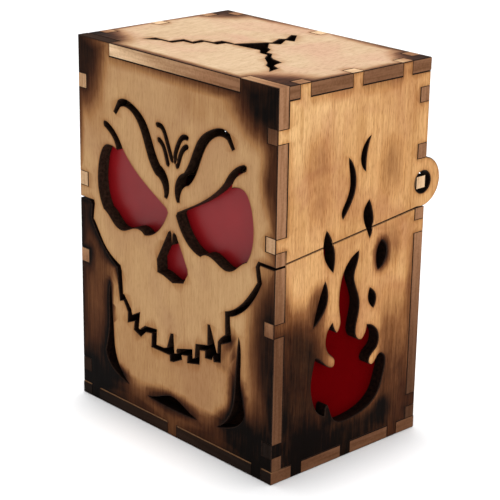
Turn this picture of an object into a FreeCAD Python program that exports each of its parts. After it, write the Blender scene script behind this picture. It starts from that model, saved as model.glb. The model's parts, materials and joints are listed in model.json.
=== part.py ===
import FreeCAD, Part
import math
import os

# Flip-top card deck box of laser-cut plywood with red acrylic windows.
# Millimetres. Origin at the centre of the base's underside, +Z up.
# The skull front faces -Y, the flames face -X and +X, the hinge is at +Y.

Vector = FreeCAD.Vector

# Driving dimensions.
WIDTH = 78.0            # outside, along X
DEPTH = 54.0            # outside, along Y
HEIGHT = 104.0          # outside, along Z
PLY = 3.6               # plywood thickness
ACRYLIC = 1.5           # window sheet thickness
FINGER = 3.8            # width of a narrow joint finger

# Where the lid meets the body.
SEAM_MIDDLE = 61.75     # height of the lid's lower edge at the middle of a side
SEAM_SLOPE = 0.105      # rise of that edge per millimetre towards the back
SEAM_GAP = 0.14         # clearance under the lid's sides
LID_CHEEK = 59.0        # lower edge of the lid's front at its two outer ends
BODY_CHEEK = 58.4       # upper edge of the body's front at its two outer ends

# Hinge: square tabs of the body's back panel turn in round holes of the lid's ears.
HINGE_Y = 25.8
HINGE_Z = 70.8
EAR_RADIUS = 6.7
HOLE_RADIUS = 3.0
TAB_HEIGHT = 3.2
TAB_REACH = 38.9        # how far the tabs reach from the middle of the box
HINGE_CHEEK = 35.1      # half width of the back panel between the lid's sides
HINGE_TOP = 77.2        # top of the body's back panel
LID_BACK_FOOT = 77.5    # lower edge of the lid's back panel

# Places of the fingers: the lower end of each narrow finger.
SIDE_IN_FRONT_LID = (62.5, 89.9)      # side fingers that show in the front, lid
SIDE_IN_FRONT_BODY = (7.4, 40.2)      # the same, body
SIDE_IN_BACK_BODY = (7.0, 57.0)       # side fingers that show in the back, body
BACK_IN_SIDE_LID = (77.5, 92.6)       # back fingers that show in the sides, lid
SIDE_CENTRES = (-18.1, 0.0, 18.1)     # side fingers in the top and the bottom
END_CENTRES = (0.0, 33.4)             # front and back fingers in the bottom, back ones in the top
TOP_TAB = 25.4                        # half width of the top's one wide front tab

X_OUT = WIDTH / 2
X_IN = X_OUT - PLY
Y_OUT = DEPTH / 2
Y_IN = Y_OUT - PLY
Z_TOP = HEIGHT - PLY


def box(low, high):
    """A block between two corners."""
    size = [top - bottom for bottom, top in zip(low, high)]
    return Part.makeBox(size[0], size[1], size[2], Vector(*low))


def straight(*points):
    """Straight stretches of an outline, one to each point."""
    return [[point] for point in points]


def curved(*points):
    """One smooth stretch of an outline through the points."""
    return [list(points)]


def flip(outline):
    """The same outline mirrored left to right."""
    return [[(-across, up) for across, up in stretch] for stretch in outline]


def stroke(points, width):
    """The outline of a slot of even width with round ends, along a smooth line."""
    near = [points[0]] + list(points) + [points[-1]]
    left, right, ahead = [], [], []
    for before, point, after in zip(near, points, near[2:]):
        turn = math.atan2(after[1] - before[1], after[0] - before[0])
        reach = (math.cos(turn) * width / 2, math.sin(turn) * width / 2)
        left.append((point[0] - reach[1], point[1] + reach[0]))
        right.append((point[0] + reach[1], point[1] - reach[0]))
        ahead.append(reach)
    tip = (points[-1][0] + ahead[-1][0], points[-1][1] + ahead[-1][1])
    tail = (points[0][0] - ahead[0][0], points[0][1] - ahead[0][1])
    return (
        curved(*left[1:]) + curved(tip, right[-1])
        + curved(*reversed(right[:-1])) + curved(tail, left[0])
    )


class Wall:
    """One wall of the box: turns flat outlines into pieces of sheet as thick as asked."""

    def __init__(self, place, inward):
        self.place = place
        self.inward = inward

    def sheet(self, outline, thickness=PLY, depth=0.0):
        """A closed outline made solid, starting at a depth below the outer face."""
        edges = []
        last = self.place(*outline[-1][-1])
        for stretch in outline:
            points = [last] + [self.place(*point) for point in stretch]
            if len(points) == 2:
                edges.append(Part.LineSegment(points[0], points[1]).toShape())
            else:
                curve = Part.BSplineCurve()
                curve.interpolate(points)
                edges.append(curve.toShape())
            last = points[-1]
        face = Part.Face(Part.Wire(edges))
        face.translate(self.inward * depth)
        return face.extrude(self.inward * thickness)

FRONT = Wall(lambda x, z: Vector(x, -Y_OUT, z), Vector(0, 1, 0))
RIGHT = Wall(lambda y, z: Vector(X_OUT, y, z), Vector(-1, 0, 0))
TOP = Wall(lambda x, y: Vector(x, y, HEIGHT), Vector(0, 0, -1))


def rectangle(left, right, low, high):
    return straight((left, low), (right, low), (right, high), (left, high))


# ---- Finger joints -------------------------------------------------------------------

def spans(starts):
    """Finger intervals from their lower ends."""
    return [(start, start + FINGER) for start in starts]


def centred(centres):
    """Finger intervals from their middles, taken on both sides of the middle of the box."""
    places = sorted(set(centres) | set(-centre for centre in centres))
    return [(place - FINGER / 2, place + FINGER / 2) for place in places]


def between(fingers, low, high):
    """The intervals from low to high that the fingers leave free."""
    free = []
    for start, end in fingers:
        if start > low:
            free.append((low, start))
        low = end
    if high > low:
        free.append((low, high))
    return free


def upright_bars(intervals, side_y):
    """Blocks in the two upright corners at the front (-1) or the back (+1)."""
    low_y, high_y = sorted((side_y * Y_IN, side_y * Y_OUT))
    bars = []
    for start, end in intervals:
        bars.append(box((X_IN, low_y, start), (X_OUT, high_y, end)))
        bars.append(box((-X_OUT, low_y, start), (-X_IN, high_y, end)))
    return bars


def side_bars(intervals, low_z):
    """Blocks along the two edges where the sides meet the top or the bottom."""
    bars = []
    for start, end in intervals:
        bars.append(box((X_IN, start, low_z), (X_OUT, end, low_z + PLY)))
        bars.append(box((-X_OUT, start, low_z), (-X_IN, end, low_z + PLY)))
    return bars


def end_bars(intervals, side_y, low_z):
    """Blocks along the edge where the front or the back meets the top or the bottom."""
    low_y, high_y = sorted((side_y * Y_IN, side_y * Y_OUT))
    return [box((start, low_y, low_z), (end, high_y, low_z + PLY)) for start, end in intervals]


front_lid = spans(SIDE_IN_FRONT_LID)
front_body = spans(SIDE_IN_FRONT_BODY)
back_lid = spans(BACK_IN_SIDE_LID)
back_body = spans(SIDE_IN_BACK_BODY)
side_fingers = centred(SIDE_CENTRES)
end_fingers = centred(END_CENTRES)

# Corner blocks by the piece that owns them.
sides_own_at_front_lid = upright_bars(front_lid, -1)
sides_own_at_front_body = upright_bars(front_body, -1)
front_owns_lid = upright_bars(between(front_lid, LID_CHEEK - PLY, HEIGHT), -1)
front_owns_body = upright_bars(between(front_body, PLY, LID_CHEEK + PLY), -1)
back_owns_lid = upright_bars(back_lid, 1)
sides_own_at_back_lid = upright_bars(between(back_lid, LID_BACK_FOOT, Z_TOP), 1)
sides_own_at_back_body = upright_bars(back_body, 1)
back_owns_body = upright_bars(between(back_body, PLY, HINGE_Z), 1)
sides_own_at_top = side_bars(side_fingers, Z_TOP)
top_owns_at_sides = side_bars(between(side_fingers, -Y_IN, Y_OUT), Z_TOP)
sides_own_at_bottom = side_bars(side_fingers, 0)
bottom_owns_at_sides = side_bars(between(side_fingers, -Y_OUT, Y_OUT), 0)
top_owns_at_front = end_bars([(-TOP_TAB, TOP_TAB)], -1, Z_TOP)
front_owns_at_top = end_bars(between([(-TOP_TAB, TOP_TAB)], -X_OUT, X_OUT), -1, Z_TOP)
back_owns_at_top = end_bars(end_fingers, 1, Z_TOP)
top_owns_at_back = end_bars(between(end_fingers, -X_OUT, X_OUT), 1, Z_TOP)
front_owns_at_bottom = end_bars(end_fingers, -1, 0)
bottom_owns_at_front = end_bars(between(end_fingers, -X_OUT, X_OUT), -1, 0)
back_owns_at_bottom = end_bars(end_fingers, 1, 0)
bottom_owns_at_back = end_bars(between(end_fingers, -X_OUT, X_OUT), 1, 0)


# ---- Skull front ---------------------------------------------------------------------

# Lower edge of the lid's front, from left to right: cheek, jaw and upper teeth.
LID_JAW = (
    straight((-X_OUT, LID_CHEEK), (-33.0, LID_CHEEK), (-32.8, 58.2))
    + curved((-33.2, 55.5), (-33.4, 53.7))
    + curved((-30.6, 50.0), (-28.2, 46.9), (-25.4, 44.8), (-21.8, 43.1))
    + straight((-21.3, 41.8), (-20.8, 35.1), (-20.1, 35.0), (-17.3, 31.7), (-16.8, 30.0),
               (-13.5, 31.8), (-14.2, 27.0), (-13.4, 26.8), (-11.2, 28.5), (-6.4, 29.0),
               (-6.6, 24.5), (-3.2, 24.6), (-1.9, 25.1), (-0.45, 29.6), (0.45, 29.8),
               (0.85, 24.3), (2.2, 24.7), (2.0, 25.5), (2.3, 26.1), (8.1, 27.8),
               (8.25, 25.1), (9.4, 25.8), (9.7, 29.8), (14.4, 30.9), (14.4, 36.7),
               (15.1, 36.8), (17.8, 29.8), (18.3, 29.9), (18.5, 33.3))
    + curved((19.3, 34.3), (21.25, 35.9))
    + straight((21.1, 42.3))
    + curved((25.6, 44.7), (28.8, 47.8), (32.9, 53.5))
    + straight((32.2, 57.5), (33.0, LID_CHEEK), (X_OUT, LID_CHEEK))
)

# Upper edge of the body's front, from right to left: cheek, jaw and lower teeth.
BODY_JAW = (
    straight((X_OUT, BODY_CHEEK), (33.6, BODY_CHEEK), (33.3, 57.7), (34.2, 53.7))
    + curved((30.3, 47.2), (26.9, 43.9), (22.6, 41.6))
    + straight((22.7, 39.5), (23.3, 34.8), (19.4, 33.0), (19.3, 27.9), (16.9, 27.3),
               (16.3, 28.8), (15.9, 27.6), (13.5, 27.3), (13.6, 29.4), (11.1, 28.8),
               (11.0, 24.7), (6.4, 23.6), (6.5, 25.7), (3.7, 25.1), (4.0, 23.8),
               (0.6, 22.1), (-0.6, 21.9), (-0.8, 23.6), (-8.4, 23.5), (-8.2, 27.6),
               (-11.0, 27.1), (-13.1, 25.1), (-15.9, 26.2), (-15.5, 29.0), (-18.6, 27.6),
               (-18.4, 30.6), (-20.3, 33.6), (-21.9, 33.0))
    + straight((-22.5, 37.0), (-23.2, 42.4))
    + curved((-27.4, 45.2), (-30.3, 48.1), (-34.0, 53.0))
    + straight((-34.3, 54.0), (-33.9, 57.5), (-34.4, BODY_CHEEK), (-X_OUT, BODY_CHEEK))
)

# Right eye, from its inner corner along the brow side to the tail, then round the socket.
EYE = (
    straight((2.3, 64.1))
    + curved((8.2, 67.2), (16.2, 72.3), (20.4, 76.4))
    + curved((22.0, 78.8), (24.2, 80.9), (26.8, 82.3))
    + curved((28.0, 82.2), (27.9, 81.2))
    + curved((25.4, 79.7), (23.6, 77.9), (22.7, 75.5))
    + curved((24.8, 76.1), (27.4, 75.8), (29.5, 73.1), (30.7, 68.5), (30.7, 63.2), (28.6, 57.8))
    + curved((25.6, 55.8), (23.3, 54.1), (20.6, 53.6), (17.8, 54.6), (14.8, 55.65), (11.2, 54.7))
    + curved((6.6, 56.6), (3.6, 59.8), (1.8, 63.2))
)

# Right brow, from its lower tip up the outer edge, over the hook and back underneath.
BROW = (
    curved((1.5, 68.3), (1.5, 71.5), (2.9, 74.0), (4.8, 75.2))
    + curved((7.6, 79.9), (10.8, 85.7), (15.6, 89.0), (19.6, 89.9), (21.9, 89.1))
    + straight((23.7, 85.9), (22.9, 85.4), (21.2, 87.7))
    + curved((19.2, 88.2), (15.6, 86.9), (12.6, 83.4), (9.3, 76.2), (6.4, 72.5))
    + curved((4.2, 71.2), (3.1, 69.1), (2.9, 67.2))
    + straight((2.1, 67.0))
)

# Nose: a heart-like hole with two spikes and a splinter between them.
NOSE = (
    straight((-1.3, 57.9), (-0.7, 58.3), (-0.35, 57.8), (0.0, 54.7), (0.35, 57.6), (0.8, 58.2),
             (1.5, 57.8), (4.4, 52.6), (6.0, 49.6), (6.2, 48.4), (4.5, 45.5), (0.2, 44.4),
             (-3.6, 45.6), (-5.8, 45.8), (-6.0, 49.2), (-2.9, 55.0))
)

# Forehead creases: the middle line of each slot.
CREASES = (
    [(-5.7, 86.0), (-3.9, 85.6), (-2.3, 83.2), (-0.5, 79.0), (0.1, 77.8)],
    [(-5.1, 82.1), (-3.7, 81.1), (-2.4, 78.7), (-1.6, 76.4)],
    [(5.8, 84.9), (4.2, 84.6), (2.4, 82.2), (1.3, 79.2), (1.3, 77.7)],
    [(5.8, 82.5), (4.7, 81.8), (3.3, 79.6), (2.1, 76.6)],
)
CREASE_WIDTH = 1.1

# Right jaw slot and the chin slot of the body's front.
JAW_SLOT = (
    curved((26.9, 31.0), (26.8, 25.0), (27.4, 20.8), (28.5, 16.4))
    + curved((27.4, 13.6), (24.0, 11.0), (18.4, 9.3))
    + curved((22.4, 13.0), (24.3, 17.2), (25.0, 22.6), (25.6, 30.0), (26.2, 36.7))
)
CHIN_SLOT = (
    curved((-5.0, 10.0), (0.0, 11.5), (5.0, 10.0), (10.0, 8.4))
    + curved((5.0, 8.0), (0.0, 7.9), (-5.0, 8.0), (-10.0, 8.4))
)

# ---- Flames of the right side --------------------------------------------------------

FLAME = (
    curved((1.8, 53.3), (1.0, 50.9), (1.9, 46.9), (3.3, 42.6), (2.9, 38.9), (2.2, 35.2),
           (2.9, 32.8), (4.7, 31.9), (6.1, 33.2), (6.8, 35.5))
    + curved((9.4, 34.3), (11.2, 31.5), (10.6, 28.3), (8.5, 26.6), (7.8, 24.6), (9.1, 23.6),
             (10.7, 24.8), (12.1, 26.0), (13.8, 25.0), (14.2, 22.4), (13.3, 18.6),
             (11.6, 14.6), (7.4, 11.6), (1.0, 10.3), (-3.3, 10.8), (-5.0, 12.3), (-6.1, 14.7),
             (-7.0, 16.6))
    + curved((-7.9, 15.5), (-8.1, 13.8), (-9.3, 14.3), (-12.2, 18.2), (-13.3, 23.4), (-12.7, 28.0),
             (-12.0, 31.0))
    + curved((-9.8, 29.5), (-7.4, 27.4), (-5.4, 27.0), (-4.9, 28.4), (-7.0, 31.0), (-8.4, 34.2),
             (-7.8, 37.3), (-6.3, 39.1))
    + curved((-5.5, 37.2), (-4.5, 36.2), (-3.5, 37.4), (-3.6, 41.4), (-3.9, 46.6),
             (-2.4, 52.6), (2.4, 56.8))
)
CRESCENT = (
    curved((3.0, 84.5), (2.2, 81.6), (3.9, 78.1))
    + curved((3.9, 81.3), (4.4, 84.3), (5.3, 86.8))
)
WISP = (
    curved((-1.6, 78.3), (-1.5, 74.2), (-2.8, 71.0), (-4.1, 68.0), (-3.7, 66.9))
    + curved((-1.8, 69.4), (0.1, 73.2), (0.1, 78.2), (-2.2, 82.2))
)
UPPER_LEAF = (
    curved((4.9, 62.8), (3.9, 66.0), (5.7, 69.8))
    + curved((7.0, 66.4), (7.3, 63.0), (6.4, 59.8))
)
LEFT_LEAF = curved((-10.3, 60.6), (-6.7, 53.4)) + curved((-6.5, 58.6), (-9.4, 64.6))
OVAL = (
    curved((9.3, 53.2), (9.9, 56.6), (11.0, 58.0))
    + curved((13.1, 55.2), (12.5, 52.2), (10.0, 50.3))
)
LONG_LEAF = curved((-12.0, 44.3), (-9.4, 51.1)) + curved((-8.4, 46.6), (-13.1, 39.8))
DROP = curved((6.9, 42.6), (7.3, 45.6)) + curved((9.6, 42.2), (8.8, 40.0))

# ---- Crack in the top ----------------------------------------------------------------

CRACK = (
    straight((-3.9, -2.4), (0.3, 5.6), (1.3, 6.6), (-0.9, 11.2), (0.3, 12.6), (-2.4, 17.2),
             (-1.3, 17.8), (3.6, 12.2), (1.0, 11.4), (3.9, 6.9), (1.3, 5.0), (4.9, 1.2),
             (7.0, 0.2), (8.9, -3.0), (10.9, -2.9), (13.4, -5.6), (15.4, -6.8), (19.6, -7.8),
             (20.1, -10.2), (20.9, -11.8), (23.9, -13.1), (24.9, -16.8), (22.4, -14.2),
             (19.6, -12.8), (17.8, -10.6), (13.6, -7.6), (11.2, -4.4), (8.4, -4.4),
             (5.9, -2.0), (-3.7, -3.0), (-6.1, -3.4), (-6.3, -6.2), (-8.2, -6.2),
             (-10.9, -6.6), (-10.9, -10.4), (-14.8, -10.6), (-15.3, -14.0), (-19.4, -14.3),
             (-23.6, -17.0), (-22.7, -13.6), (-17.2, -13.4), (-16.5, -9.0), (-12.6, -9.4),
             (-12.8, -6.0), (-8.8, -5.4), (-8.7, -2.4), (-6.2, -2.2))
)


def seam_height(y, drop=0.0):
    """Height of the slanted seam in the sides."""
    return SEAM_MIDDLE + SEAM_SLOPE * y - drop


def cut(solid, tools):
    """Takes a list of solids away from one solid."""
    return solid.cut(tools).removeSplitter()


def mirrored(shape):
    """The same piece for the left side."""
    return shape.mirror(Vector(0, 0, 0), Vector(1, 0, 0))


def lid_front_panel():
    outline = LID_JAW + straight((X_OUT, HEIGHT), (-X_OUT, HEIGHT))
    panel = FRONT.sheet(outline)
    shapes = [EYE, flip(EYE), BROW, flip(BROW), NOSE]
    shapes += [stroke(line, CREASE_WIDTH) for line in CREASES]
    holes = [FRONT.sheet(shape) for shape in shapes]
    return cut(panel, holes + sides_own_at_front_lid + top_owns_at_front)


def body_front_panel():
    outline = straight((-X_OUT, 0), (X_OUT, 0)) + BODY_JAW
    panel = FRONT.sheet(outline)
    holes = [FRONT.sheet(shape) for shape in (JAW_SLOT, flip(JAW_SLOT), CHIN_SLOT)]
    return cut(panel, holes + sides_own_at_front_body + bottom_owns_at_front)


def lid_back_panel():
    panel = box((-X_OUT, Y_IN, LID_BACK_FOOT), (X_OUT, Y_OUT, HEIGHT))
    return cut(panel, sides_own_at_back_lid + top_owns_at_back)


def body_back_panel():
    foot = box((-X_OUT, Y_IN, 0), (X_OUT, Y_OUT, seam_height(Y_IN, 2 * SEAM_GAP)))
    foot = cut(foot, sides_own_at_back_body + bottom_owns_at_back)
    neck = box((-HINGE_CHEEK, Y_IN, 0), (HINGE_CHEEK, Y_OUT, HINGE_TOP))
    neck = cut(neck, bottom_owns_at_back)
    low = HINGE_Z - TAB_HEIGHT / 2
    tabs = box((-TAB_REACH, Y_IN, low), (TAB_REACH, Y_OUT, low + TAB_HEIGHT))
    return foot.fuse([neck, tabs]).removeSplitter()


def lid_right_side_panel():
    outline = straight((-Y_OUT, seam_height(-Y_OUT)), (Y_OUT, seam_height(Y_OUT)),
                       (Y_OUT, HEIGHT), (-Y_OUT, HEIGHT))
    ear = Part.makeCylinder(EAR_RADIUS, PLY, Vector(X_IN, HINGE_Y, HINGE_Z), Vector(1, 0, 0))
    bore = Part.makeCylinder(HOLE_RADIUS, PLY, Vector(X_IN, HINGE_Y, HINGE_Z), Vector(1, 0, 0))
    panel = RIGHT.sheet(outline).fuse(ear)
    holes = [bore] + [RIGHT.sheet(shape) for shape in (CRESCENT, WISP, LEFT_LEAF, UPPER_LEAF)]
    return cut(panel, holes + front_owns_lid + back_owns_lid + top_owns_at_sides)


def body_right_side_panel():
    high = 2 * SEAM_GAP
    outline = straight((-Y_OUT, 0), (Y_OUT, 0), (Y_OUT, seam_height(Y_OUT, high)),
                       (-Y_OUT, seam_height(-Y_OUT, SEAM_GAP)))
    panel = RIGHT.sheet(outline)
    shapes = (FLAME, UPPER_LEAF, LEFT_LEAF, OVAL, LONG_LEAF, DROP)
    holes = [RIGHT.sheet(shape) for shape in shapes]
    return cut(panel, holes + front_owns_body + back_owns_body + bottom_owns_at_sides)


def lid_top_panel():
    panel = box((-X_OUT, -Y_OUT, Z_TOP), (X_OUT, Y_OUT, HEIGHT))
    taken = front_owns_at_top + sides_own_at_top + back_owns_at_top
    return cut(panel, taken + [TOP.sheet(CRACK)])


def bottom_panel():
    panel = box((-X_OUT, -Y_OUT, 0), (X_OUT, Y_OUT, PLY))
    return cut(panel, front_owns_at_bottom + sides_own_at_bottom + back_owns_at_bottom)


def lid_eye_inlay():
    """Window behind both eyes and the nose, clear of the brows and inside the lid's outline."""
    outline = straight((-8.5, 43.2), (8.5, 43.2), (8.5, 51.8), (28.0, 51.8), (32.2, 58.0),
                       (32.2, 78.6), (20.4, 78.6), (0, 66.0), (-20.4, 78.6), (-32.2, 78.6),
                       (-32.2, 58.0), (-28.0, 51.8), (-8.5, 51.8))
    return FRONT.sheet(outline, ACRYLIC, PLY)


def right_flame_inlay():
    return RIGHT.sheet(rectangle(-16.0, 16.6, 7.4, 58.4), ACRYLIC, PLY)


pieces = {
    "lid_front_panel": lid_front_panel(),
    "lid_back_panel": lid_back_panel(),
    "lid_right_side_panel": lid_right_side_panel(),
    "lid_top_panel": lid_top_panel(),
    "lid_eye_inlay": lid_eye_inlay(),
    "body_front_panel": body_front_panel(),
    "body_back_panel": body_back_panel(),
    "body_right_side_panel": body_right_side_panel(),
    "bottom_panel": bottom_panel(),
    "right_flame_inlay": right_flame_inlay(),
}
for name in ("lid_right_side_panel", "body_right_side_panel", "right_flame_inlay"):
    pieces[name.replace("right", "left")] = mirrored(pieces[name])

os.makedirs("parts", exist_ok=True)
for name, shape in pieces.items():
    print(name, "solids", len(shape.Solids), "valid", shape.isValid(), "volume", round(shape.Volume))
    shape.exportStep("parts/" + name + ".step")
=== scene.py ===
import json
import math

import bpy
import numpy as np
from mathutils import Matrix, Vector
from mathutils.geometry import delaunay_2d_cdt


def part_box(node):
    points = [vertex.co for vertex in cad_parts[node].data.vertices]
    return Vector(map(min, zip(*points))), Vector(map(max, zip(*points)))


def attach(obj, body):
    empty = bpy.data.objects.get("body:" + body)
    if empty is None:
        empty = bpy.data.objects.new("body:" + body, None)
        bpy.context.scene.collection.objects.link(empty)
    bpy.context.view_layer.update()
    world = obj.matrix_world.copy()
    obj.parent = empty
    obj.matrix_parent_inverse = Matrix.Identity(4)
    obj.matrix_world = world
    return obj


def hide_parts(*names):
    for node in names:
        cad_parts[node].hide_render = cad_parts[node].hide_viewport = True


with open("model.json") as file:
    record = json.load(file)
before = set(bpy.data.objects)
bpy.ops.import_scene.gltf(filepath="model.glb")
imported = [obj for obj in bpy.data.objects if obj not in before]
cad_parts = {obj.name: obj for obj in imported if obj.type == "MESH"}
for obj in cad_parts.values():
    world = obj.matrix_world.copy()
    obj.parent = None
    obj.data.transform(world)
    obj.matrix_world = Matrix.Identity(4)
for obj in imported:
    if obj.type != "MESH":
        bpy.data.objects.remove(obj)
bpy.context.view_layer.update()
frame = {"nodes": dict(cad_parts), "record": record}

# Flip-top card deck box: laser-cut birch plywood with burnt shading and red acrylic windows.
# Every plywood sheet is rebuilt from its CAD outline with a charred chamfer round every cut,
# a fine face mesh that carries the burnt shading, and separate cut walls. Lengths are metres;
# the burnt shading alone is laid out in millimetres. Burnt tones run from 0, clear, to 1, charred.

MM = 0.001
CHAMFER = 0.20 * MM        # charred bevel round every cut
GRID = 1.25 * MM           # spacing of the face mesh
RIM_STEPS = (0.4 * MM, 0.9 * MM, 1.8 * MM)     # rows of face mesh points beside every cut
RIM_SPACING = 0.5 * MM     # least size of the cells that thin out such a row
ROW_SHARE = 0.8            # share of its step that a row must keep from every cut
NO_POINTS = np.zeros((0, 2))
MITRE_LIMIT = 2.2          # longest move of an inset corner, in inset depths
HAIRPIN = 0.05             # keeps that move finite where an outline turns right back
TOUCH = 1e-6               # two lengths closer than this are the same
LEVEL_SLACK = 2            # how far off a face's level its corners may be, in TOUCH
FILL_SLACK = 1e-6          # points nearer than this are merged in a filling, in millimetres
CHUNK = 400                # points handled at a time

BODY_OF = {name: body for body, names in frame["record"]["behaviour"]["bodies"].items()
           for name in names}
SLOT_OF = {row["node"]: row["material_slot"] for row in frame["record"]["subparts"]}
BOTTOM_LOW, BOTTOM_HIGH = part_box("bottom_panel")
LOW = Vector((BOTTOM_LOW.x, BOTTOM_LOW.y, 0.0))
HIGH = Vector((BOTTOM_HIGH.x, BOTTOM_HIGH.y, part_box("lid_top_panel")[1].z))


# ---- Outlines of the CAD sheets --------------------------------------------------------

class Sheet:
    """A flat CAD sheet: its plane, its two faces and the closed outlines of its shape."""

    def __init__(self, node):
        mesh = frame["nodes"][node].data
        low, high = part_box(node)
        self.node = node
        self.thin = min(range(3), key=lambda axis: high[axis] - low[axis])
        self.across, self.up = [axis for axis in range(3) if axis != self.thin]
        middle = (low[self.thin] + high[self.thin]) / 2
        centre = (LOW[self.thin] + HIGH[self.thin]) / 2
        self.outward = 1 if middle > centre else -1
        self.outer = high[self.thin] if middle > centre else low[self.thin]
        self.inner = low[self.thin] if middle > centre else high[self.thin]
        normal = Vector(self.point((1, 0), 0)).cross(Vector(self.point((0, 1), 0)))
        self.mirrored = normal[self.thin] * self.outward < 0     # seen from outside the box
        self.loops = self.read_loops(mesh)

    def read_loops(self, mesh):
        """Boundary loops of the outer face, as 2-D points, material always on the left."""
        keys, place = {}, []
        for vertex in mesh.vertices:
            key = tuple(round(value / TOUCH) for value in vertex.co)
            place.append(keys.setdefault(key, len(keys)))
        points = {index: key for key, index in keys.items()}
        level = round(self.outer / TOUCH)
        ahead = {}
        for polygon in mesh.polygons:
            corners = [place[index] for index in polygon.vertices]
            if any(abs(points[corner][self.thin] - level) > LEVEL_SLACK for corner in corners):
                continue
            for start, end in zip(corners, corners[1:] + corners[:1]):
                if ahead.get(end) and start in ahead[end]:
                    ahead[end].remove(start)
                else:
                    ahead.setdefault(start, []).append(end)
        loops = []
        for start in sorted(ahead):
            while ahead[start]:
                loop, here = [start], ahead[start].pop()
                while here != start:
                    loop.append(here)
                    here = ahead[here].pop()
                flat = [(points[i][self.across] * TOUCH, points[i][self.up] * TOUCH) for i in loop]
                loops.append(np.array(flat))
        loops.sort(key=lambda loop: -abs(signed_area(loop)))
        turned = []
        for rank, loop in enumerate(loops):
            anticlockwise = rank == 0
            turned.append(loop if (signed_area(loop) > 0) == anticlockwise else loop[::-1])
        return turned

    def point(self, flat, level):
        """A point of the sheet's plane at a level along its thin axis."""
        place = [0.0, 0.0, 0.0]
        place[self.across], place[self.up], place[self.thin] = flat[0], flat[1], level
        return place


def signed_area(loop):
    """The area inside a loop, negative when the loop runs clockwise."""
    after = np.roll(loop, -1, axis=0)
    return float((loop[:, 0] * after[:, 1] - after[:, 0] * loop[:, 1]).sum() / 2)


def inset(loop, depth):
    """The loop moved into the material, with mitred corners."""
    ahead = np.roll(loop, -1, axis=0) - loop
    ahead /= np.linalg.norm(ahead, axis=1)[:, None]
    behind = np.roll(ahead, 1, axis=0)
    left_ahead = np.stack([-ahead[:, 1], ahead[:, 0]], axis=1)
    left_behind = np.stack([-behind[:, 1], behind[:, 0]], axis=1)
    both = left_ahead + left_behind
    share = 1 + (left_ahead * left_behind).sum(axis=1)
    move = both / np.maximum(share, HAIRPIN)[:, None]
    size = np.linalg.norm(move, axis=1)
    move *= np.minimum(1, MITRE_LIMIT / np.maximum(size, TOUCH))[:, None]
    return loop + move * depth


def distance_to_loops(points, loops):
    """How far each point is from the nearest outline."""
    starts = np.concatenate(loops)
    ends = np.concatenate([np.roll(loop, -1, axis=0) for loop in loops])
    along = ends - starts
    square = np.maximum((along ** 2).sum(axis=1), TOUCH ** 2)
    nearest = np.full(len(points), np.inf)
    for first in range(0, len(points), CHUNK):
        some = points[first:first + CHUNK, None, :] - starts[None]
        share = np.clip((some * along[None]).sum(axis=2) / square, 0, 1)
        gap = np.linalg.norm(some - share[..., None] * along[None], axis=2)
        nearest[first:first + CHUNK] = gap.min(axis=1)
    return nearest


def inside(points, loops):
    """Which points lie in the material, by counting crossings."""
    starts = np.concatenate(loops)
    ends = np.concatenate([np.roll(loop, -1, axis=0) for loop in loops])
    result = np.zeros(len(points), dtype=bool)
    for first in range(0, len(points), CHUNK):
        x = points[first:first + CHUNK, 0][:, None]
        y = points[first:first + CHUNK, 1][:, None]
        spans = (starts[:, 1] > y) != (ends[:, 1] > y)
        rise = np.where(ends[:, 1] == starts[:, 1], 1, ends[:, 1] - starts[:, 1])
        crossing = starts[:, 0] + (y - starts[:, 1]) * (ends[:, 0] - starts[:, 0]) / rise
        result[first:first + CHUNK] = (spans & (crossing > x)).sum(axis=1) % 2 == 1
    return result


def thinned(points, gap):
    """The first point in every cell of a square grid."""
    taken = set()
    kept = []
    for point in points:
        cell = (round(point[0] / gap), round(point[1] / gap))
        if cell not in taken:
            taken.add(cell)
            kept.append(point)
    return np.array(kept) if kept else NO_POINTS


def face_points(loops):
    """Points of a fine face mesh: rows beside every cut and a staggered grid between them."""
    groups = []
    for step in RIM_STEPS:
        row = np.concatenate([inset(loop, step) for loop in loops])
        row = thinned(row, max(step, RIM_SPACING))
        gap = distance_to_loops(row, loops)
        groups.append(row[inside(row, loops) & (gap > ROW_SHARE * step)])
    rims = np.concatenate(loops)
    low, high = rims.min(axis=0), rims.max(axis=0)
    columns, rows = np.arange(low[0], high[0], GRID), np.arange(low[1], high[1], GRID)
    across, up = np.meshgrid(columns, rows)
    across = across + (np.arange(len(across)) % 2)[:, None] * GRID / 2
    grid = np.stack([across.ravel(), up.ravel()], axis=1)
    gap = distance_to_loops(grid, loops)
    groups.append(grid[inside(grid, loops) & (gap > RIM_STEPS[-1] + GRID / 2)])
    return np.concatenate(groups)


def fill(loops, extra):
    """Triangles that fill the loops, through some extra points."""
    points = np.concatenate([*loops, extra])
    edges, first = [], 0
    for loop in loops:
        count = len(loop)
        edges += [(first + i, first + (i + 1) % count) for i in range(count)]
        first += count
    scale = 1 / MM
    flat = [Vector(point) for point in points * scale]
    found, _, faces, _, _, _ = delaunay_2d_cdt(flat, edges, [], 0, FILL_SLACK)
    found = np.array([tuple(point) for point in found]) / scale
    faces = np.array(faces)
    keep = inside(found[faces].mean(axis=1), loops)
    return found, faces[keep]


# ---- Burnt shading and painted shade inside the box, in millimetres --------------------

INSIDE_SHADE_HEIGHT = 60          # above the table, where the painted shade inside the box ends
INSIDE_SHADE_TONE = 0.88          # of that painted shade at the table's level


def smooth(value):
    """An eased step from 0 to 1."""
    value = np.clip(value, 0, 1)
    return value * value * (3 - 2 * value)


def blot(a, b, centre, reach, strength, power=2.0, crisp=1.6):
    """A soft burnt patch: full at its centre, nothing at its reach."""
    away = (np.abs((a - centre[0]) / reach[0]) ** power
            + np.abs((b - centre[1]) / reach[1]) ** power) ** (1 / power)
    return strength * smooth((1 - away) * crisp)


def together(layers):
    """Several layers of shading laid over each other."""
    clear = 1.0
    for layer in layers:
        clear = clear * (1 - np.clip(layer, 0, 1))
    return 1 - clear


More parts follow.
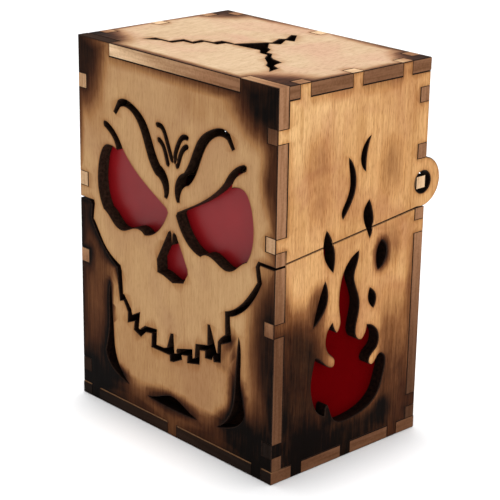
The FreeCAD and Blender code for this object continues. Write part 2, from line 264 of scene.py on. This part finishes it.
def lid_front_burn(x, z):
    """Burnt shading of the skull's upper half: dark top corners and right edge."""
    return together([
        blot(x, z, (-39, 104), (16, 26), 0.9),       # top left corner
        blot(x, z, (39, 103), (23, 20), 0.98),       # top right corner
        0.6 * smooth((z - 99.3) / 1.0) * smooth((25.5 - np.abs(x)) / 1.0),      # along the top
        blot(x, z, (42, 81), (11, 17), 0.8),         # right edge beside the eye
        blot(x, z, (-31, 84), (8, 10), 0.12),        # smudge beside the left brow
        blot(x, z, (-39.5, 76), (3, 12), 0.35),      # left edge
        blot(x, z, (39.5, 64), (4, 12), 0.4),        # right edge beside the cheek
        blot(x, z, (12, 97), (16, 10), 0.12),        # smudge above the right brow
        blot(x, z, (0, 103), (40, 4), 0.18),         # faint and wide along the top
    ])


def body_front_burn(x, z):
    """Burnt shading of the jaw: its sides and its foot."""
    right_of_slot = smooth((x - 22) / 4)
    left_of_slot = smooth((-26.0 - x) / 1.2)
    left_of_jaw = np.where(z > 34, smooth((-22 - x) / 6), left_of_slot)
    return together([
        blot(x, z, (42, 37), (16, 30), 0.93),        # right edge
        blot(x, z, (39, 0), (36, 28), 1.0) * np.where(z > 12, right_of_slot, 1),     # right foot
        blot(x, z, (-39, 0), (34, 24), 1.0) * np.where(z > 12, left_of_slot, 1),     # left foot
        0.56 * left_of_jaw,
        0.4 * smooth((z - 44) / 10) * left_of_jaw,   # darker towards the top
        0.5 * smooth((13 - z) / 9),                  # along the foot
        0.1 * smooth((44 - z) / 20),                 # faint, over the lower half
        blot(x, z, (25, 11.5), (10, 5.5), 0.85),     # foot of the right slot
        blot(x, z, (-24.5, 11), (8, 4), 0.85),       # foot of the left slot
        blot(x, z, (0, 9.4), (15, 4.5), 0.75),       # under the chin
    ])


def side_burn(y, z):
    """Burnt shading of a side: dark foot, front quarter and back half, small smudges."""
    back_half = smooth((y - 9) / 5)
    foot = smooth((17 - z) / 9)
    return together([
        blot(y, z, (-27, 15), (23, 36), 0.86, 4.0, 2.6),            # low front quarter, boxy
        0.68 * back_half * np.clip((46 - z) / 26, 0, 1) ** 0.85,    # fading upwards
        foot * (0.96 - 0.8 * smooth((y - 11) / 8)),                 # weaker at the back
        blot(y, z, (-11.8, 45), (4.5, 8), 0.5),             # in front of the flame
        blot(y, z, (11.2, 54.3), (4.2, 6.6), 0.75),         # round the upper slot behind the flame
        blot(y, z, (13.5, 9.5), (4.5, 5), 0.8),             # foot of the flame, at the back
        blot(y, z, (-6.5, 13.5), (4.5, 5.5), 0.95),         # foot of the flame, at the front
        blot(y, z, (-13.0, 84), (7, 12), 0.22, 2.0, 1.1),   # three faint smudges on the lid
        blot(y, z, (-12, 72), (6, 9), 0.13, 2.0, 1.1),
        blot(y, z, (14, 77), (8, 12), 0.20, 2.0, 1.1),
        blot(y, z, (15, 56), (5, 8), 0.2),                  # under the seam, at the back
        blot(y, z, (4, 102), (24, 6), 0.10),                # along the top
        0.14 * smooth((y + 113 - z) / 30),                  # faint everywhere but the top front
    ])


def top_burn(x, y):
    """Burnt corners of the top."""
    return together([
        blot(x, y, (-39, 27), (17, 16), 0.75),       # back left
        blot(x, y, (-39, -27), (22, 15), 0.95),      # front left
        blot(x, y, (39, -27), (20, 19), 0.76),       # front right
        blot(x, y, (39, 27), (15, 12), 0.82),        # back right
        0.3 * smooth((np.abs(x) - 36) / 3),          # side edges
        0.18 * smooth((np.abs(y) - 24.5) / 3),       # front and back edges
    ])


def back_burn(x, z):
    """Burnt edges of the plain back."""
    return together([
        blot(np.abs(x), z, (39, 104), (19, 20), 0.9),        # top corners
        blot(np.abs(x), z, (39, 0), (30, 30), 0.95),         # bottom corners
        0.55 * smooth((14 - z) / 12),                        # along the foot
        0.45 * smooth((np.abs(x) - 33) / 7),                 # side edges
    ])


def bottom_burn(x, y):
    """Burnt corners and edges of the bottom."""
    return together([
        blot(np.abs(x), np.abs(y), (39, 27), (18, 15), 0.7),     # all four corners
        0.3 * smooth((np.abs(x) - 33) / 6),                      # side edges
        0.3 * smooth((np.abs(y) - 21) / 6),                      # front and back edges
    ])


def inside_painted_shade(points, lid):
    """Painted shade on the inner faces: dark at the bottom of the box, none in the lid."""
    if lid:
        return np.zeros(len(points))
    height = np.asarray(points)[:, 2] / MM
    return INSIDE_SHADE_TONE * np.clip(1 - height / INSIDE_SHADE_HEIGHT, 0, 1)


def burn_at(points, thin, outward, lid):
    """Burnt shading of the outer surface that faces along one axis, at points in metres."""
    x, y, z = (np.asarray(points) / MM).T
    if thin == 0:
        return side_burn(y, z)
    if thin == 1:
        front = lid_front_burn if lid else body_front_burn
        return front(x, z) if outward < 0 else back_burn(x, z)
    return top_burn(x, y) if outward > 0 else bottom_burn(x, y)


# ---- Sheets rebuilt as meshes ----------------------------------------------------------

FACE, RIM, CUT, END, INSIDE = range(5)       # material slots of a plywood sheet


class Builder:
    """Gathers vertices, faces, material numbers and burnt shading, with some painted light and
    shade, for one mesh.
    """

    def __init__(self):
        self.points, self.faces, self.kinds, self.burn_and_painted_light = [], [], [], []

    def add(self, points, faces, kind, burn_and_painted_light):
        """Take in some faces of one kind, with the burnt shading and painted light of their points.
        """
        first = len(self.points)
        self.points += [tuple(point) for point in points]
        self.burn_and_painted_light += [float(value) for value in burn_and_painted_light]
        self.faces += [tuple(first + int(index) for index in face) for face in faces]
        self.kinds += [kind] * len(faces)

    def finish(self, name):
        """The object made of everything taken in."""
        mesh = bpy.data.meshes.new(name)
        mesh.from_pydata(self.points, [], self.faces)
        mesh.polygons.foreach_set("material_index", self.kinds)
        shade = mesh.attributes.new("burn_and_painted_light", "FLOAT", "POINT")
        shade.data.foreach_set("value", self.burn_and_painted_light)
        mesh.update()
        piece = bpy.data.objects.new(name, mesh)
        bpy.context.scene.collection.objects.link(piece)
        return piece


def quads_between(count):
    """Faces that join two rings of points, given one after the other."""
    return [(i, (i + 1) % count, count + (i + 1) % count, count + i) for i in range(count)]


def reversed_if(flip, faces):
    """The faces, each turned round when asked."""
    return [face[::-1] for face in faces] if flip else faces


# How toasted the ends of each sheet are, at lid height and low on the body.
END_TONES = {
    "lid_front_panel": (0.40, 0.40), "body_front_panel": (0.40, 0.54),
    "lid_back_panel": (0.45, 0.45), "body_back_panel": (0.40, 0.64),
    "lid_top_panel": (0.53, 0.53), "bottom_panel": (0.56, 0.50),
}
SIDE_END_TONES = (0.14, 0.60)
FADE_TOP = 58              # millimetres above the table, where the second tone begins to come in
SIDE_FADE_TOP = 52         # the same for the two sides
FADE_LENGTH = 22           # millimetres further down, where it is reached
UPWARD_TONE = 0.04         # ends that face up
TOP_LEFT_TONE = 0.9        # the front's ends that face up, on the left
HINGE_TAB_TONE = 0.12      # the ends of the back's two hinge tabs
HINGE_TAB_HEIGHT = 68      # millimetres; they are the back's only ends above this
TOP_FRONT_TONE = 0.02      # the top's front ends, from the left to the middle
TOP_FRONT_RISE = 0.4       # how much darker they get on the right
TOP_FRONT_FADE = 26        # millimetres from the middle, where that is reached
CORNER_TONE, MIDDLE_TONE = 0.92, 0.74          # the bottom's front ends
CORNER_REACH = 30          # millimetres from the middle
RIGHT_SIDE_EXTRA = 0.08    # the right side's front ends are this much darker than the left's
FOOT_HEIGHT = 20           # millimetres; ends that face front or back take on more below this
BROW_HEIGHT = 75           # millimetres; so do the right side's front ends above this
LITTLE, SOME, MUCH = 0.12, 0.35, 0.55          # shares of the burnt shading round an end
END_REACH = 0.15 * MM      # an end this near the outside of the box shows


def end_tone(sheet, middle, axis, outward):
    """How toasted one end is: by its sheet, its height and the burnt shading round it."""
    x, _, z = middle / MM
    faces_front = axis == 1 and outward < 0
    faces_up = axis == 2 and outward > 0
    if sheet.node == "lid_front_panel" and faces_up and x < 0:
        return TOP_LEFT_TONE
    if sheet.node == "body_back_panel" and z > HINGE_TAB_HEIGHT:
        return HINGE_TAB_TONE
    high, low = END_TONES.get(sheet.node, SIDE_END_TONES)
    fade_top = SIDE_FADE_TOP if sheet.thin == 0 else FADE_TOP
    tone = high + (low - high) * float(smooth((fade_top - z) / FADE_LENGTH))
    if faces_up:
        tone = UPWARD_TONE
    elif faces_front and sheet.node == "lid_top_panel":
        tone = TOP_FRONT_TONE + TOP_FRONT_RISE * float(smooth(x / TOP_FRONT_FADE))
    elif faces_front and sheet.node == "bottom_panel":
        tone = CORNER_TONE if abs(x) > CORNER_REACH else MIDDLE_TONE
    share = LITTLE
    if axis == 2:
        share = MUCH
    elif axis == 1 and z < FOOT_HEIGHT:
        share = SOME
    if sheet.thin == 0 and faces_front and x > 0:
        tone += RIGHT_SIDE_EXTRA
        share = MUCH if z > BROW_HEIGHT or z < FOOT_HEIGHT else LITTLE
    around = float(burn_at([middle], axis, outward, BODY_OF[sheet.node] == "lid")[0])
    return min(1.0, tone + share * around)


def wall_kinds(sheet, loop):
    """Which walls are seen from outside as lighter sheet ends, and how dark each one is."""
    after = np.roll(loop, -1, axis=0)
    level = (sheet.outer + sheet.inner) / 2
    wall_tone = 0.0 if sheet.node == "lid_front_panel" else 1.0     # brown, otherwise black
    kinds, burns = [], []
    for start, end in zip(loop, after):
        kind, tones = CUT, (wall_tone, wall_tone)
        for axis in (axis for axis in range(3) if axis != sheet.thin):
            flat_axis = 0 if axis == sheet.across else 1
            if abs(start[flat_axis] - end[flat_axis]) > TOUCH:
                continue
            for wall, outward in ((LOW[axis], -1), (HIGH[axis], 1)):
                if abs(start[flat_axis] - wall) < END_REACH:
                    kind = END
                    places = [np.array(sheet.point(point, level)) for point in (start, end)]
                    tones = tuple(end_tone(sheet, place, axis, outward) for place in places)
        kinds.append(kind)
        burns.append(tones)
    return kinds, burns


SEAM_FRONT_HEIGHT = 58.9   # millimetres, where the sides' seam meets the front
SEAM_SLOPE = 0.105         # its rise for each millimetre towards the back
HALO_TONE = 0.42           # browning at the edge of every cut
HALO_REACH = 0.45 * MM     # how fast it fades
JAW_HALO_TONE = 0.9        # softer browning beside the jaw and its slots
JAW_HALO_REACH = 2.2 * MM
SEAM_HALO_SHARE = 0.2      # how much of the browning is left along the fine seam
SEAM_HALO_WIDTH = 1.5      # millimetres to each side of it
FAINT_LINE_AND_HIGHLIGHT = 0.15          # tone of the laser line there, and of the painted highlight along the bottom's front
SEAM_LINE_WIDTH = 0.6      # millimetres to each side of the seam
BOTTOM_FRONT = LOW.y / MM + 0.3        # millimetres; the bottom's front edge is before this
BOTTOM_UPPER = 3           # millimetres; the bottom's upper edges are above this


def near_seam(y, z, reach):
    """Which places lie along the slanted seam between lid and body, in millimetres."""
    return np.abs(z - (SEAM_FRONT_HEIGHT + SEAM_SLOPE * (y - LOW.y / MM))) < reach


def rim_halo(sheet, points, gap):
    """Browning near laser cuts: a fine one at every cut, soft ones beside the jaw and its slots."""
    halo = HALO_TONE * np.exp(-gap / HALO_REACH)
    across, up = (points / MM).T
    if sheet.thin == 0:
        seam = near_seam(across, up, SEAM_HALO_WIDTH)
        halo = halo * np.where(seam, SEAM_HALO_SHARE, 1.0)
    if sheet.node == "body_front_panel":
        x, z = across, up
        soft = np.exp(-(gap / JAW_HALO_REACH) ** 2)
        beside_jaw = smooth((-21 - x) / 3) * smooth((z - 40) / 3)
        outside_left_slot = smooth((-24.5 - x) / 1.5) * smooth((44 - z) / 8)
        inside_right_slot = smooth((x - 19) / 3) * smooth((26 - x) / 2) * smooth((38 - z) / 6)
        outside_right_slot = smooth((x - 24.5) / 1.5) * smooth((30 - x) / 2) * smooth((28 - z) / 8)
        beside = beside_jaw + outside_left_slot + inside_right_slot + outside_right_slot
        halo = halo + JAW_HALO_TONE * np.minimum(beside, 1) * soft
    return halo


def rim_tone(sheet, ring):
    """How dark the laser line is: full, but faint along the sides' seam, and light along the
    bottom's front as a painted highlight on the bevel, partly a worn edge.
    """
    _, y, z = (np.array(ring) / MM).T
    light = near_seam(y, z, SEAM_LINE_WIDTH) & (sheet.thin == 0)
    # The bottom's front upper edges get the light line: a painted highlight on the bevel, partly a
    # worn edge.
    if sheet.node == "bottom_panel":
        light = (y < BOTTOM_FRONT) & (z > BOTTOM_UPPER)
    return np.where(light, FAINT_LINE_AND_HIGHLIGHT, 1.0)


def add_faces(builder, sheet, rims):
    """The outer face, finely meshed and burnt, and the inner one, plain, with painted shade low in
    the box.
    """
    on_lid = BODY_OF[sheet.node] == "lid"
    points, faces = fill(rims, face_points(rims))
    solid = [sheet.point(point, sheet.outer) for point in points]
    shade = burn_at(solid, sheet.thin, sheet.outward, on_lid)
    halo = rim_halo(sheet, points, distance_to_loops(points, sheet.loops))
    builder.add(solid, reversed_if(sheet.mirrored, faces), FACE, together([shade, halo]))
    points, faces = fill(rims, NO_POINTS)
    solid = [sheet.point(point, sheet.inner) for point in points]
    faces = reversed_if(not sheet.mirrored, faces)
    # the inner face is darkened towards the bottom of the box as painted shade
    builder.add(solid, faces, INSIDE, inside_painted_shade(solid, on_lid))


def add_cut(builder, sheet, loop, rim):
    """One cut: a charred chamfer on both faces and the walls between them."""
    count = len(loop)
    for level, side in ((sheet.outer, 1), (sheet.inner, -1)):
        shoulder = level - side * sheet.outward * CHAMFER
        ring = [sheet.point(point, level) for point in rim]
        ring += [sheet.point(point, shoulder) for point in loop]
        quads = reversed_if(sheet.mirrored == (side < 0), quads_between(count))
        builder.add(ring, quads, RIM, rim_tone(sheet, ring))
    top = sheet.outer - sheet.outward * CHAMFER
    foot = sheet.inner + sheet.outward * CHAMFER
    wall = reversed_if(not sheet.mirrored, [(0, 1, 2, 3)])
    kinds, tones = wall_kinds(sheet, loop)
    for index, (kind, (at_start, at_end)) in enumerate(zip(kinds, tones)):
        start, end = loop[index], loop[(index + 1) % count]
        corners = [sheet.point(start, top), sheet.point(end, top),
                   sheet.point(end, foot), sheet.point(start, foot)]
        builder.add(corners, wall, kind, [at_start, at_end, at_end, at_start])


def build_sheet(sheet):
    """A plywood sheet with its cuts charred and its ends toasted."""
    builder = Builder()
    rims = [inset(loop, CHAMFER) for loop in sheet.loops]
    add_faces(builder, sheet, rims)
    for loop, rim in zip(sheet.loops, rims):
        add_cut(builder, sheet, loop, rim)
    return builder.finish("ply_" + sheet.node)


# ---- Materials -------------------------------------------------------------------------

class Nodes:
    """Short words for building a material's node tree."""

    def __init__(self, name):
        self.material = bpy.data.materials.new(name)
        self.material.use_nodes = True
        self.tree = self.material.node_tree
        self.shader = self.tree.nodes["Principled BSDF"]
        self.place = self.tree.nodes.new("ShaderNodeTexCoord").outputs["Object"]

    def feed(self, socket, value):
        """Give an input a number, a colour or an output."""
        if isinstance(value, (int, float)):
            socket.default_value = value
        elif isinstance(value, tuple):
            socket.default_value = (*value, 1)
        else:
            self.tree.links.new(value, socket)

    def noise(self, scale, detail=2.0, rough=0.5, distortion=0.0, shift=0.0):
        """Noise stretched along an axis: scale is cycles per millimetre on x, y, z."""
        mapping = self.tree.nodes.new("ShaderNodeMapping")
        mapping.inputs["Scale"].default_value = [value / MM for value in scale]
        mapping.inputs["Location"].default_value = (shift, shift, shift)
        self.feed(mapping.inputs["Vector"], self.place)
        noise = self.tree.nodes.new("ShaderNodeTexNoise")
        noise.inputs["Scale"].default_value = 1.0
        noise.inputs["Detail"].default_value = detail
        noise.inputs["Roughness"].default_value = rough
        noise.inputs["Distortion"].default_value = distortion
        self.feed(noise.inputs["Vector"], mapping.outputs["Vector"])
        return noise.outputs["Fac"]

    def ramp(self, factor, stops):
        """A colour ramp from (position, colour) stops."""
        ramp = self.tree.nodes.new("ShaderNodeValToRGB")
        elements = ramp.color_ramp.elements
        while len(elements) < len(stops):
            elements.new(0.5)
        for element, (position, colour) in zip(elements, stops):
            element.position = position
            element.color = (*colour, 1)
        self.feed(ramp.inputs["Fac"], factor)
        return ramp.outputs["Color"]

    def maths(self, operation, first, second, clamp=False):
        """One sum of numbers or outputs."""
        node = self.tree.nodes.new("ShaderNodeMath")
        node.operation = operation
        node.use_clamp = clamp
        for socket, value in zip(node.inputs, (first, second)):
            self.feed(socket, value)
        return node.outputs["Value"]

    def mix(self, factor, first, second, blend="MIX"):
        """Two colours mixed, each a tuple or an output."""
        node = self.tree.nodes.new("ShaderNodeMix")
        node.data_type = "RGBA"
        node.blend_type = blend
        sockets = [socket for socket in node.inputs if socket.enabled]
        for socket, value in zip(sockets, (factor, first, second)):
            self.feed(socket, value)
        return [socket for socket in node.outputs if socket.enabled][0]

    def attribute(self, name):
        """A number that the mesh carries at its points."""
        node = self.tree.nodes.new("ShaderNodeAttribute")
        node.attribute_name = name
        return node.outputs["Fac"]

    def bump(self, height, strength, distance):
        """Fine relief from a height."""
        node = self.tree.nodes.new("ShaderNodeBump")
        node.inputs["Strength"].default_value = strength
        node.inputs["Distance"].default_value = distance
        self.feed(node.inputs["Height"], height)
        self.feed(self.shader.inputs["Normal"], node.outputs["Normal"])

    def surface(self, colour, roughness, gloss):
        """The finished material: its colour, its roughness and the strength of its highlights."""
        self.feed(self.shader.inputs["Base Color"], colour)
        self.feed(self.shader.inputs["Roughness"], roughness)
        self.feed(self.shader.inputs["Specular IOR Level"], gloss)
        return self.material


BLACK, WHITE = (0.0, 0.0, 0.0), (1.0, 1.0, 1.0)
# What the burnt shading, and the painted shade inside the box, leave of the veneer's colour, from
# clear to charred.
CHAR = [(0.0, WHITE), (0.2, (0.74, 0.62, 0.52)), (0.45, (0.315, 0.208, 0.162)),
        (0.7, (0.112, 0.062, 0.049)), (0.88, (0.036, 0.022, 0.020)), (0.98, (0.005, 0.004, 0.005))]
# The colour of a sheet's end, from barely toasted to black.
TOAST = [(0.0, (0.90, 0.64, 0.40)), (0.2, (0.56, 0.350, 0.195)), (0.4, (0.35, 0.178, 0.092)),
         (0.6, (0.165, 0.074, 0.037)), (0.8, (0.060, 0.028, 0.016)), (1.0, (0.014, 0.009, 0.007))]


def along(axis, fine, coarse):
    """Scale that is coarse along the grain axis and fine across it."""
    return [coarse if index == axis else fine for index in range(3)]


def birch(name, grain, pale, deep, blush, figure):
    """Birch face veneer with its grain along one axis, burnt where the mesh says so, and darkened
    there as painted shade on the inner faces.
    """
    nodes = Nodes(name)
    tone = nodes.noise(along(grain, 0.16, 0.03), 3, 0.6, 0.5)
    streak = nodes.noise(along(grain, 1.7, 0.06), 3, 0.6)
    pore = nodes.noise(along(grain, 4.2, 0.45), 2, 0.6, 0.0, 5.0)
    cloud = nodes.noise((0.055, 0.055, 0.055), 3, 0.55, 0.6, 3.0)
    half_tone = nodes.maths("MULTIPLY", tone, 0.5)
    half_streak = nodes.maths("MULTIPLY", streak, 0.5)
    wood = nodes.ramp(nodes.maths("ADD", half_tone, half_streak), [(0.37, deep), (0.60, pale)])
    wood = nodes.mix(nodes.ramp(cloud, [(0.45, BLACK), (0.68, (0.8,) * 3)]), wood, blush)
    pores = nodes.ramp(pore, [(0.33, (0.66, 0.58, 0.50)), (0.50, WHITE)])
    wood = nodes.mix(figure, wood, pores, "MULTIPLY")
    height = nodes.maths("ADD", streak, pore)
    burn_and_painted_light = nodes.attribute("burn_and_painted_light")
    lick = nodes.noise(along(grain, 1.0, 0.08), 4, 0.65, 0.3, 2.0)
    puff = nodes.noise((0.10, 0.10, 0.10), 3, 0.6, 0.2, 9.0)
    licks = nodes.maths("MULTIPLY", nodes.maths("SUBTRACT", lick, 0.5), 0.7)
    puffs = nodes.maths("MULTIPLY", nodes.maths("SUBTRACT", puff, 0.5), 0.5)
    ragged = nodes.maths("ADD", licks, puffs)
    hump = nodes.maths("MULTIPLY", burn_and_painted_light, nodes.maths("SUBTRACT", 1.4, burn_and_painted_light))
    middle = nodes.maths("MULTIPLY", hump, 1.2)
    burnt = nodes.maths("ADD", burn_and_painted_light, nodes.maths("MULTIPLY", ragged, middle), True)
    wood = nodes.mix(1.0, wood, nodes.ramp(burnt, CHAR), "MULTIPLY")
    rough = nodes.ramp(streak, [(0.3, (0.56,) * 3), (0.7, (0.48,) * 3)])
    nodes.bump(height, 0.25, 0.06 * MM)
    return nodes.surface(wood, rough, 0.02)


def charred_rim():
    """The line that the laser leaves along the edges of a cut: dark, light where it is faint, and
    light along the bottom's front as a painted highlight, partly a worn edge.
    """
    nodes = Nodes("charred_rim")
    speckle = nodes.noise((2.2, 2.2, 2.2), 3, 0.6)
    dark = nodes.ramp(speckle, [(0.35, (0.009, 0.005, 0.004)), (0.65, (0.030, 0.015, 0.009))])
    light = nodes.ramp(speckle, [(0.35, (0.20, 0.095, 0.040)), (0.65, (0.32, 0.165, 0.075))])
    colour = nodes.mix(nodes.attribute("burn_and_painted_light"), light, dark)
    nodes.bump(speckle, 0.3, 0.05 * MM)
    return nodes.surface(colour, 0.6, 0.04)


def charred_cut():
    """The walls of a cut: dark brown or nearly black, with a fine speckle."""
    nodes = Nodes("charred_cut")
    speckle = nodes.noise((1.2, 1.2, 1.2), 3, 0.6)
    brown = nodes.ramp(speckle, [(0.35, (0.012, 0.006, 0.004)), (0.7, (0.040, 0.021, 0.013))])
    black = nodes.ramp(speckle, [(0.35, (0.004, 0.002, 0.002)), (0.7, (0.015, 0.007, 0.004))])
    nodes.bump(speckle, 0.3, 0.06 * MM)
    return nodes.surface(nodes.mix(nodes.attribute("burn_and_painted_light"), brown, black), 0.55, 0.04)


def toasted_end(name, thin):
    """A sheet end seen from outside: toasted brown, with its plies as lines along the sheet."""
    nodes = Nodes(name)
    speckle = nodes.noise((1.6, 1.6, 1.6), 3, 0.65)
    plies = nodes.noise(along(thin, 0.06, 0.9), 2, 0.6)
    fine = nodes.maths("MULTIPLY", speckle, 0.35)
    tone = nodes.maths("ADD", fine, nodes.maths("MULTIPLY", plies, 0.65))
    wood = nodes.ramp(tone, [(0.38, (0.66, 0.60, 0.54)), (0.60, WHITE)])
    toast = nodes.ramp(nodes.attribute("burn_and_painted_light"), TOAST)
    nodes.bump(tone, 0.3, 0.06 * MM)
    return nodes.surface(nodes.mix(1.0, wood, toast, "MULTIPLY"), 0.6, 0.015)


def red_acrylic(name, low, high, gloss):
    """Red acrylic sheet, a little uneven in tone, with highlights as strong as its gloss."""
    nodes = Nodes(name)
    film = nodes.noise((0.05, 0.05, 0.05), 3, 0.6)
    nodes.feed(nodes.shader.inputs["IOR"], 1.49)
    return nodes.surface(nodes.ramp(film, [(0.3, low), (0.7, high)]), 0.34, gloss)


Y_GRAIN, Z_GRAIN = 1, 2
rim = charred_rim()
cut = charred_cut()
ends = [toasted_end("toasted_end_" + "xyz"[axis], axis) for axis in range(3)]
# The same birch in three tones by the way its faces turn: the front darker as painted shade, the
# sides lighter as painted light, the top paler, partly its own tone and partly a painted sheen.
front_wood = birch("birch_front", Z_GRAIN, pale=(0.52, 0.316, 0.148), deep=(0.44, 0.248, 0.112),
                   blush=(0.41, 0.226, 0.108), figure=0.45)
side_wood = birch("birch_side", Z_GRAIN, pale=(0.81, 0.505, 0.234), deep=(0.57, 0.314, 0.124),
                  blush=(0.55, 0.280, 0.134), figure=0.8)
top_wood = birch("birch_top", Y_GRAIN, pale=(0.63, 0.455, 0.290), deep=(0.54, 0.370, 0.223),
                 blush=(0.585, 0.358, 0.240), figure=0.7)
# The birch again, darker for the inner faces: painted shade inside the box.
inner_wood_shaded = birch("birch_inside", Z_GRAIN, pale=(0.42, 0.275, 0.155), deep=(0.35, 0.215, 0.114),
                   blush=(0.35, 0.200, 0.110), figure=0.6)
# The same red acrylic twice: the flames' copy is darker and without highlights, painted shade for
# the dark floor near the box that the acrylic low on the sides reflects.
eye_red = red_acrylic("red_acrylic_eyes", (0.195, 0.003, 0.005), (0.25, 0.005, 0.008), 0.22)
flame_red_shaded = red_acrylic("red_acrylic_flames", (0.084, 0.0004, 0.001), (0.108, 0.0006, 0.0014), 0.0)

# Wood by the axis a face looks along, each tone carrying the painted light and shade of that side.
WOOD_LIT_AND_SHADED_BY_AXIS = (side_wood, front_wood, top_wood)


# ---- Pieces ----------------------------------------------------------------------------

for node in frame["nodes"]:
    if SLOT_OF[node] == "birch_ply":
        sheet = Sheet(node)
        piece = build_sheet(sheet)
        for material in (WOOD_LIT_AND_SHADED_BY_AXIS[sheet.thin], rim, cut, ends[sheet.thin], inner_wood_shaded):
            piece.data.materials.append(material)
        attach(piece, BODY_OF[node])
        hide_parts(node)
    else:
        target = frame["nodes"][node]
        if not target.material_slots:
            target.data.materials.append(None)
        for slot in target.material_slots:
            slot.material = eye_red if node == "lid_eye_inlay" else flame_red_shaded


# ---- Floor, light and camera -----------------------------------------------------------

def plain_floor():
    """A pale floor that reaches far past the view."""
    reach = 30.0
    mesh = bpy.data.meshes.new("floor")
    corners = [(-reach, -reach, 0), (reach, -reach, 0), (reach, reach, 0), (-reach, reach, 0)]
    mesh.from_pydata(corners, [], [(0, 1, 2, 3)])
    floor = bpy.data.objects.new("floor", mesh)
    bpy.context.scene.collection.objects.link(floor)
    mesh.materials.append(Nodes("floor_paper").surface((0.90, 0.90, 0.905), 0.8, 0.5))


def sun_light(name, towards, power, spread):
    """A large soft white lamp far away in one direction; its spread is in degrees."""
    data = bpy.data.lights.new(name, "SUN")
    data.energy = power
    data.angle = math.radians(spread)
    lamp = bpy.data.objects.new(name, data)
    lamp.rotation_euler = Vector(towards).to_track_quat("Z", "Y").to_euler()
    bpy.context.scene.collection.objects.link(lamp)


def world_light():
    """A pale surround: white at the horizon, dimmer overhead."""
    world = bpy.data.worlds.new("studio")
    world.use_nodes = True
    tree = world.node_tree
    background = tree.nodes["Background"]
    place = tree.nodes.new("ShaderNodeTexCoord").outputs["Generated"]
    split = tree.nodes.new("ShaderNodeSeparateXYZ")
    ramp = tree.nodes.new("ShaderNodeValToRGB")
    low, high = ramp.color_ramp.elements
    low.position, low.color = 0.10, (1, 1, 1, 1)
    high.position, high.color = 0.30, (0.30, 0.30, 0.30, 1)
    tree.links.new(place, split.inputs["Vector"])
    tree.links.new(split.outputs["Z"], ramp.inputs["Fac"])
    tree.links.new(ramp.outputs["Color"], background.inputs["Color"])
    background.inputs["Strength"].default_value = 1.17
    bpy.context.scene.world = world


def camera():
    """A long lens that looks down on the front and the right side, very slightly rolled."""
    azimuth, elevation = math.radians(47.02), math.radians(19.23)
    distance, roll, focal = 0.458, 0.0162, 121.3     # metres, radians, millimetres
    aim = Vector((0.001, -0.0001, 0.0476))
    level_reach = math.cos(elevation)
    back = Vector((math.sin(azimuth) * level_reach, -math.cos(azimuth) * level_reach,
                   math.sin(elevation)))
    data = bpy.data.cameras.new("camera")
    data.lens = focal
    data.sensor_width = 36.0
    view = bpy.data.objects.new("camera", data)
    level_right = Vector((0, 0, 1)).cross(back).normalized()
    level_up = back.cross(level_right)
    right = level_right * math.cos(roll) + level_up * math.sin(roll)
    up = back.cross(right)
    turn = Matrix((right, up, back)).transposed()
    view.matrix_world = Matrix.Translation(aim + back * distance) @ turn.to_4x4()
    bpy.context.scene.collection.objects.link(view)
    bpy.context.scene.camera = view


plain_floor()
world_light()
sun_light("key", (-0.05, 0.04, 0.99), 3.0, 20)
sun_light("side", (0.90, -0.28, 0.34), 1.15, 60)
camera()
bpy.context.scene.view_settings.view_transform = "Standard"
